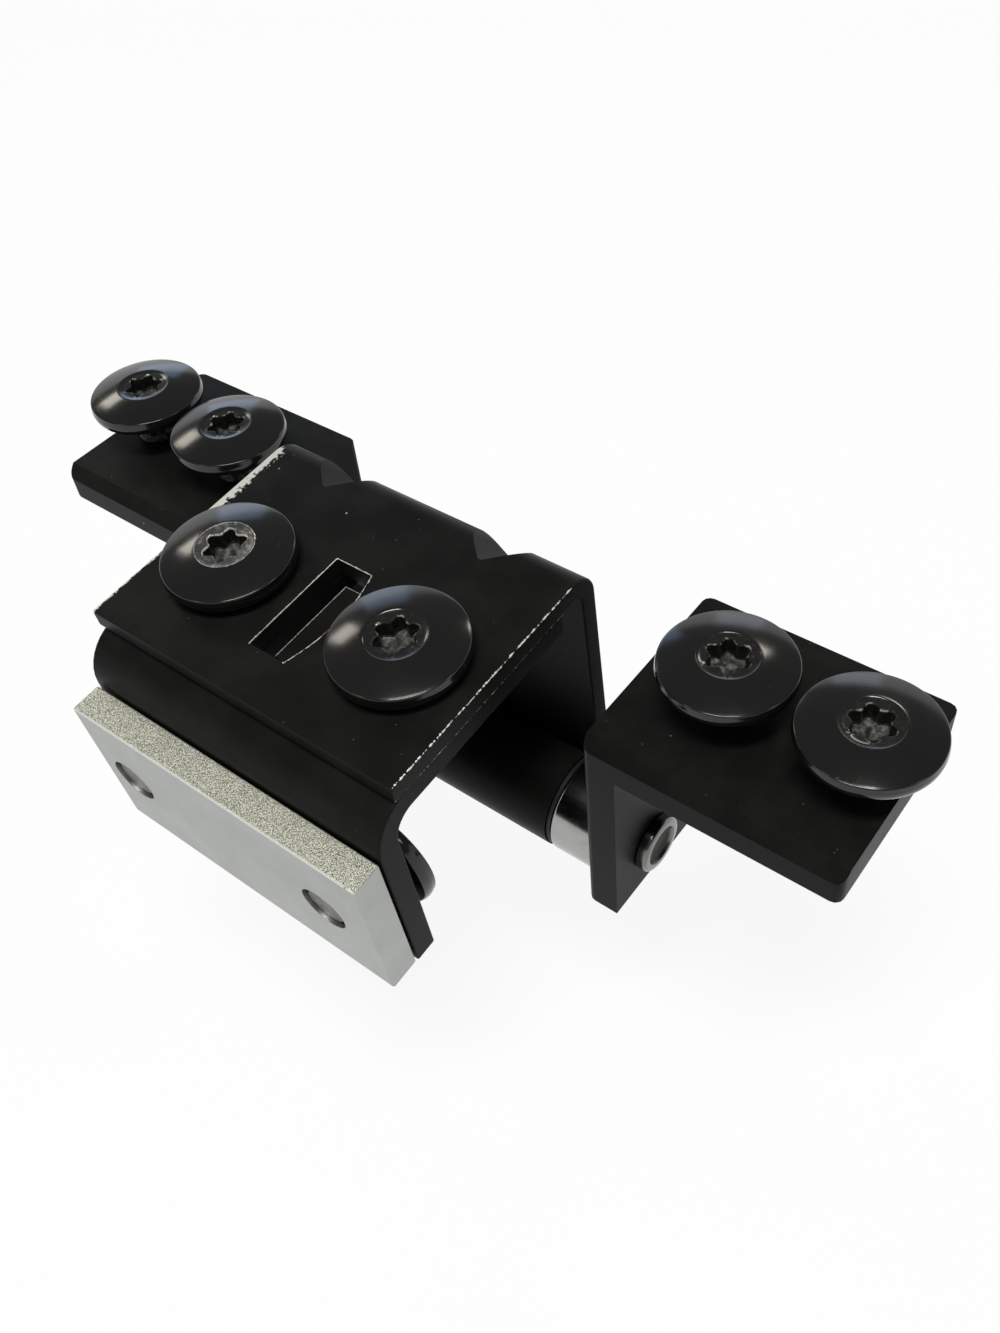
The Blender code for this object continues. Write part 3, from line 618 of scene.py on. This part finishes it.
def screw_profile(sizes):
    """Stations of a screw along its own axis, its collar's underside at height 0."""
    steps = sizes.turn_steps
    turns = np.arange(steps) * 2 * pi / steps
    under = sizes.shoulder_height
    rim = under + sizes.rim_height
    crown = rim + sizes.dome_rise
    ring = sizes.ring_radius
    # The threaded shank
    stations = [(0, -sizes.shank_length)]
    thread_rings = 72
    for i in range(thread_rings + 1):
        height = -sizes.shank_length + sizes.shank_length * i / thread_rings
        wave = (height / sizes.thread_pitch - turns / (2 * pi)) % 1
        crest = 1 - np.abs(2 * wave - 1)
        fade = min(1, -height / (0.6 * sizes.thread_pitch))
        radius = sizes.thread_radius - sizes.thread_depth * fade * np.clip(1.25 * crest - 0.1, 0, 1)
        limit = sizes.thread_radius - sizes.tip_chamfer + (height + sizes.shank_length)
        stations.append((np.minimum(radius, limit), height))
    # The collar and the head's underside, chamfered
    chamfer = 0.1 * MM
    foot = sizes.head_radius - sizes.rim_taper
    stations += [(sizes.shoulder_radius - chamfer, 0), (sizes.shoulder_radius, chamfer)]
    stations += [(sizes.shoulder_radius, under), (foot - 0.15 * MM, under), (foot, under + chamfer)]
    # The rim bulges out, and its round edge runs into the dome
    bulge = foot + 0.65 * sizes.rim_taper
    stations += [(bulge, under + 0.45 * MM), (sizes.head_radius, under + 0.95 * MM)]
    stations.append((sizes.head_radius - 0.04 * MM, under + 1.3 * MM))
    brow = sizes.head_radius - 0.12 * MM
    slope = 2 * sizes.dome_rise / brow / (1 - (ring / brow) ** 2)
    lean = 90 - np.degrees(np.arctan(slope))
    centre = (brow - sizes.rim_round, rim - sizes.rim_round * 0.8)
    stations += arc(centre, sizes.rim_round, -6, lean, 7)
    # The dome
    last = stations[-1]
    dome_steps = 12
    for i in range(1, dome_steps + 1):
        reach = last[0] + (ring - last[0]) * i / dome_steps
        part = (1 - (reach / last[0]) ** 2) / (1 - (ring / last[0]) ** 2)
        stations.append((reach, last[1] + (crown - last[1]) * part))
    # The sunk ring and the six-lobed drive
    face = crown - sizes.ring_sink
    floor = face - sizes.drive_depth
    lobes = sizes.lobe_radius + sizes.lobe_depth * np.cos(6 * turns)
    stations += [(ring - 0.06 * MM, crown), (ring - 0.16 * MM, crown - 0.05 * MM)]
    stations += [(ring - 0.24 * MM, face), (sizes.lobe_radius + 1.3 * sizes.lobe_depth, face)]
    stations += [(lobes + 0.15 * MM, face - 0.02 * MM), (lobes, face - 0.17 * MM)]
    stations += [(lobes - 0.05 * MM, floor), (1.0 * MM, floor - 0.25 * MM), (0, floor - 0.4 * MM)]
    return stations


def middle_of(low, high):
    """The middle of a box."""
    return (low + high) / 2


def screw_frames():
    """Each screw's node, its body and its place, with its axis along the screw's own Z."""
    shank = bpy.context.scene.hinge_sizes.shank_length
    forwards = Matrix.Rotation(-pi / 2, 4, "X")
    tilt = Matrix.Rotation(SIDE_TILT, 4, "X")
    places = []
    for side in SIDES:
        node = f"top_screw_{side}"
        low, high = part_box(node)
        middle = middle_of(low, high)
        spot = Vector((middle.x, middle.y, low.z + shank))
        places.append((node, "leaf_clamp", Matrix.Translation(spot)))
        node = f"flange_screw_{side}"
        low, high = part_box(node)
        middle = middle_of(low, high)
        spot = Vector((middle.x, low.y + shank, middle.z))
        places.append((node, "leaf_clamp", Matrix.Translation(spot) @ forwards))
    for side in SIDES:
        for count in ("inner", "outer"):
            node = f"side_screw_{side}_{count}"
            spot = side_screw_spot(node, tilt)
            places.append((node, "side_brackets", Matrix.Translation(spot) @ tilt))
    return places


def side_screw_spot(node, tilt):
    """The middle of the collar's underside, from the node's own points turned upright."""
    shank = bpy.context.scene.hinge_sizes.shank_length
    upright = tilt.inverted()
    points = [upright @ v.co for v in frame["nodes"][node].data.vertices]
    low = Vector([min(p[i] for p in points) for i in range(3)])
    high = Vector([max(p[i] for p in points) for i in range(3)])
    middle = middle_of(low, high)
    return tilt @ Vector((middle.x, middle.y, low.z + shank))


# The pieces, one operator for each piece or group of like pieces


class HINGE_OT_outer_bracket(bpy.types.Operator):
    """Dresses the outer bracket: the folded sheet with the knuckle, the slot and the gussets"""

    bl_idname = "hinge.outer_bracket"
    bl_label = "Outer Bracket"

    def execute(self, context):
        low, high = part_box("outer_bracket")
        top = high.z
        under = top - SHEET
        front = low.y
        rear = high.y - 4 * MM
        chafed = front + 16 * MM
        left, right, near, far = SLOT
        tab = left + TAB_GAP
        # The left edge, rubbed through, then the right edges, the slot's edges and the tab's edges, whose
        # lines of steel are partly wear and partly painted highlights
        worn = [
            ((low.x, chafed, top), (low.x, rear, top), 2.0 * MM, 1.0),
            ((low.x, front, top), (low.x, chafed, top), 0.6 * MM, 0.8),
            ((high.x, front, top), (high.x, rear, top), 0.26 * MM, 0.6),
            ((high.x, front, under), (high.x, rear, under), 0.26 * MM, 0.5),
            ((left, near, top), (left, far, top), 0.18 * MM, 0.9),
            ((left, far, top), (right, far, top), 0.18 * MM, 0.8),
            ((tab, near + TAB_END, under), (tab, far - TAB_END, under), 0.16 * MM, 1.0),
            ((tab, far - TAB_END, under), (right, far - TAB_END, under), 0.15 * MM, 0.8),
        ]
        # Along the slot's bulging side: steel showing through, partly wear and partly a painted highlight
        # where that curved wall catches the light
        fold_wear_and_highlight = []
        for t in (-1, -0.5, 0, 0.5, 1):
            fold_wear_and_highlight.append((right + SLOT_BULGE * (1 - t * t), (near + far) / 2 + (far - near) / 2 * t, top))
        worn += [(start, end, 0.24 * MM, 0.9) for start, end in zip(fold_wear_and_highlight, fold_wear_and_highlight[1:])]
        finish = coat_finish("outer_bracket_coat", worn)
        mesh = softened("outer_bracket", "outer_bracket_sheet")
        piece = show("outer_bracket_sheet", mesh, finish, "centre_body", ["outer_bracket"])
        soften(piece)
        return {"FINISHED"}


class HINGE_OT_inner_bracket(bpy.types.Operator):
    """Dresses the inner bracket: the plate under the top and the flange in front"""

    bl_idname = "hinge.inner_bracket"
    bl_label = "Inner Bracket"

    def execute(self, context):
        low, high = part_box("inner_bracket")
        # The line of steel along the right edge is partly wear and partly a painted highlight
        worn = [((high.x, low.y + 6 * MM, high.z), (high.x, high.y, high.z), 0.3 * MM, 0.6)]
        finish = coat_finish("inner_bracket_coat", worn)
        mesh = softened("inner_bracket", "inner_bracket_sheet")
        piece = show("inner_bracket_sheet", mesh, finish, "leaf_clamp", ["inner_bracket"])
        soften(piece)
        return {"FINISHED"}


class HINGE_OT_clamp_plate(bpy.types.Operator):
    """Dresses the clamp plate: satin aluminium with a sawn top face"""

    bl_idname = "hinge.clamp_plate"
    bl_label = "Clamp Plate"

    def execute(self, context):
        low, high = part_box("clamp_plate")
        mesh = softened("clamp_plate", "clamp_plate_bar")
        finish = aluminium_finish("clamp_plate_satin", low, high)
        piece = show("clamp_plate_bar", mesh, finish, "leaf_clamp", ["clamp_plate"])
        soften(piece)
        return {"FINISHED"}


class HINGE_OT_screws(bpy.types.Operator):
    """Turns the eight large-headed screws, with domes, six-lobed drives and threads"""

    bl_idname = "hinge.screws"
    bl_label = "Screws"

    def execute(self, context):
        sizes = context.scene.hinge_sizes
        stations = screw_profile(sizes)
        for node, body, place in screw_frames():
            mesh = turned(node + "_turned", stations, sizes.turn_steps)
            axis = place.to_3x3() @ Vector((0, 0, 1))
            rubbed = RUBBED if node == RUBBED_SCREW else HARDLY_RUBBED
            finish = screw_finish(node + "_black", place.translation, axis, rubbed)
            show(node + "_turned", mesh, finish, body, [node], place)
        return {"FINISHED"}


class HINGE_OT_pin(bpy.types.Operator):
    """Turns the pivot pin with its dished rivet heads"""

    bl_idname = "hinge.pin"
    bl_label = "Pivot Pin"

    def execute(self, context):
        sizes = context.scene.hinge_sizes
        low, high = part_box("pivot_pin")
        middle = middle_of(low, high)
        tip = (high.x - low.x) / 2
        seat = tip - sizes.rivet_height
        edge = 0.5 * MM
        chamfer = 0.1 * MM
        lip = 0.12 * MM
        head = [(sizes.pin_radius, seat), (sizes.rivet_radius - chamfer, seat)]
        head.append((sizes.rivet_radius, seat + chamfer))
        head += arc((sizes.rivet_radius - edge, tip - edge), edge, 0, 78, 6)
        head += arc((sizes.dish_radius + chamfer, tip - lip), lip, 80, 170, 4)
        head += [(sizes.dish_radius - 0.2 * MM, tip - 0.6 * sizes.dish_depth)]
        head += [(0.6 * sizes.dish_radius, tip - sizes.dish_depth), (0, tip - sizes.dish_depth)]
        stations = [(radius, -height) for radius, height in head[::-1]] + head
        mesh = turned("pivot_pin_turned", stations, sizes.turn_steps)
        turn = Matrix.Translation(middle) @ Matrix.Rotation(pi / 2, 4, "Y")
        finish = zinc_finish("pivot_pin_zinc", middle, (1, 0, 0), PIN_PAINTED_SHADE, sizes.dish_radius)
        show("pivot_pin_turned", mesh, finish, "side_brackets", ["pivot_pin"], turn)
        return {"FINISHED"}


class HINGE_OT_spacers(bpy.types.Operator):
    """Turns the bright spacer rings between knuckle and legs"""

    bl_idname = "hinge.spacers"
    bl_label = "Spacers"

    def execute(self, context):
        sizes = context.scene.hinge_sizes
        pin = swing_axis()[0]
        bore = sizes.pin_radius + 0.1 * MM
        chamfer = 0.15 * MM
        edge = sizes.spacer_round
        for side in SIDES:
            node = f"spacer_{side}"
            low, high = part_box(node)
            half = (high.x - low.x) / 2
            radius = (high.z - low.z) / 2
            profile = [(bore, -half + chamfer), (bore + chamfer, -half)]
            profile += arc((radius - edge, -half + edge), edge, -90, 0, 6)
            profile += arc((radius - edge, half - edge), edge, 0, 90, 6)
            profile += [(bore + chamfer, half), (bore, half - chamfer)]
            mesh = turned(f"{node}_ring", profile, sizes.turn_steps, closed=True)
            middle = Vector(((low.x + high.x) / 2, pin.y, pin.z))
            place = Matrix.Translation(middle) @ Matrix.Rotation(pi / 2, 4, "Y")
            finish = zinc_finish(f"{node}_zinc", middle, (1, 0, 0), SPACER_PAINTED_SHADE)
            show(f"{node}_ring", mesh, finish, "side_brackets", [node], place)
        return {"FINISHED"}


class HINGE_OT_bushes(bpy.types.Operator):
    """Dresses the flanged bushes in the knuckle"""

    bl_idname = "hinge.bushes"
    bl_label = "Bushes"

    def execute(self, context):
        finish = polymer_finish("bush_polymer")
        for side in SIDES:
            node = f"knuckle_bush_{side}"
            mesh = softened(node, f"{node}_moulded")
            show(f"{node}_moulded", mesh, finish, "centre_body", [node])
        return {"FINISHED"}


class HINGE_OT_side_brackets(bpy.types.Operator):
    """Dresses the two side brackets"""

    bl_idname = "hinge.side_brackets"
    bl_label = "Side Brackets"

    def execute(self, context):
        for side in SIDES:
            node = f"side_bracket_{side}"
            finish = coat_finish(f"{node}_coat")
            mesh = softened(node, f"{node}_plate")
            piece = show(f"{node}_plate", mesh, finish, "side_brackets", [node])
            soften(piece)
        return {"FINISHED"}


# The stage


def lamp(name, azimuth, elevation, distance, size, shade, brightness):
    """A soft panel that looks at the hinge; azimuth 0 is in front, and 90 is to the right."""
    turn, rise = radians(azimuth), radians(elevation)
    way = Vector((sin(turn) * cos(rise), -cos(turn) * cos(rise), sin(rise)))
    light = bpy.data.lights.new(name, "AREA")
    light.shape = "RECTANGLE"
    light.size, light.size_y = size
    light.color = shade
    light.energy = brightness * pi * size[0] * size[1]
    made = bpy.data.objects.new(name, light)
    made.location = way * distance
    made.rotation_mode = "QUATERNION"
    made.rotation_quaternion = (-way).to_track_quat("-Z", "Y")
    bpy.context.scene.collection.objects.link(made)


class HINGE_OT_stage(bpy.types.Operator):
    """Sets the floor with its backdrop, the lamps, the room's light and the camera"""

    bl_idname = "hinge.stage"
    bl_label = "Stage"

    def execute(self, context):
        stage = context.scene.hinge_stage
        ground = swing_floor()
        edge = stage.floor_radius - stage.wall_round
        profile = [(0, ground)]
        profile += arc((edge, ground + stage.wall_round), stage.wall_round, -90, 0, 12)
        profile.append((stage.floor_radius, ground + stage.wall_height))
        mesh = turned("floor", profile, 96)
        mesh.flip_normals()
        floor = bpy.data.objects.new("floor", mesh)
        context.scene.collection.objects.link(floor)
        floor.data.materials.append(stage_finish("pale_floor"))
        for name, setting in LAMPS.items():
            lamp(name, *setting)
        world = bpy.data.worlds.new("room")
        world.use_nodes = True
        back = world.node_tree.nodes["Background"]
        back.inputs["Color"].default_value = ROOM_COLOUR
        back.inputs["Strength"].default_value = stage.room
        context.scene.world = world
        lens = bpy.data.cameras.new("photo_camera")
        lens.sensor_width = SENSOR
        lens.lens = FOCAL_PIXELS / PHOTO_HEIGHT * SENSOR
        lens.clip_start = NEAR_CLIP
        camera = bpy.data.objects.new("photo_camera", lens)
        camera.location = CAMERA_PLACE
        camera.rotation_euler = [radians(a) for a in CAMERA_TURN]
        context.scene.collection.objects.link(camera)
        context.scene.camera = camera
        context.scene.view_settings.view_transform = "Standard"
        return {"FINISHED"}


# The sidebar's panel, and the run


class HINGE_PT_looks(bpy.types.Panel):
    """Lists the hinge's pieces and settings in the sidebar"""

    bl_idname = "HINGE_PT_looks"
    bl_label = "Concealed Hinge"
    bl_space_type = "VIEW_3D"
    bl_region_type = "UI"
    bl_category = "Hinge"

    def draw(self, context):
        layout = self.layout
        for step in STEPS:
            layout.operator(step.bl_idname)
        for group in (context.scene.hinge_sizes, context.scene.hinge_finishes, context.scene.hinge_stage):
            column = layout.column(align=True)
            for key in group.__annotations__:
                column.prop(group, key)


STEPS = (
    HINGE_OT_outer_bracket,
    HINGE_OT_inner_bracket,
    HINGE_OT_clamp_plate,
    HINGE_OT_screws,
    HINGE_OT_pin,
    HINGE_OT_spacers,
    HINGE_OT_bushes,
    HINGE_OT_side_brackets,
    HINGE_OT_stage,
)
GROUPS = {"hinge_sizes": HingeSizes, "hinge_finishes": HingeFinishes, "hinge_stage": HingeStage}


def register():
    for group in GROUPS.values():
        bpy.utils.register_class(group)
    for name, group in GROUPS.items():
        setattr(bpy.types.Scene, name, PointerProperty(type=group))
    for step in STEPS:
        bpy.utils.register_class(step)
    bpy.utils.register_class(HINGE_PT_looks)


def unregister():
    bpy.utils.unregister_class(HINGE_PT_looks)
    for step in reversed(STEPS):
        bpy.utils.unregister_class(step)
    for name, group in GROUPS.items():
        delattr(bpy.types.Scene, name)
        bpy.utils.unregister_class(group)


def main():
    register()
    for step in STEPS:
        family, action = step.bl_idname.split(".")
        getattr(getattr(bpy.ops, family), action)()


if __name__ == "__main__":
    main()
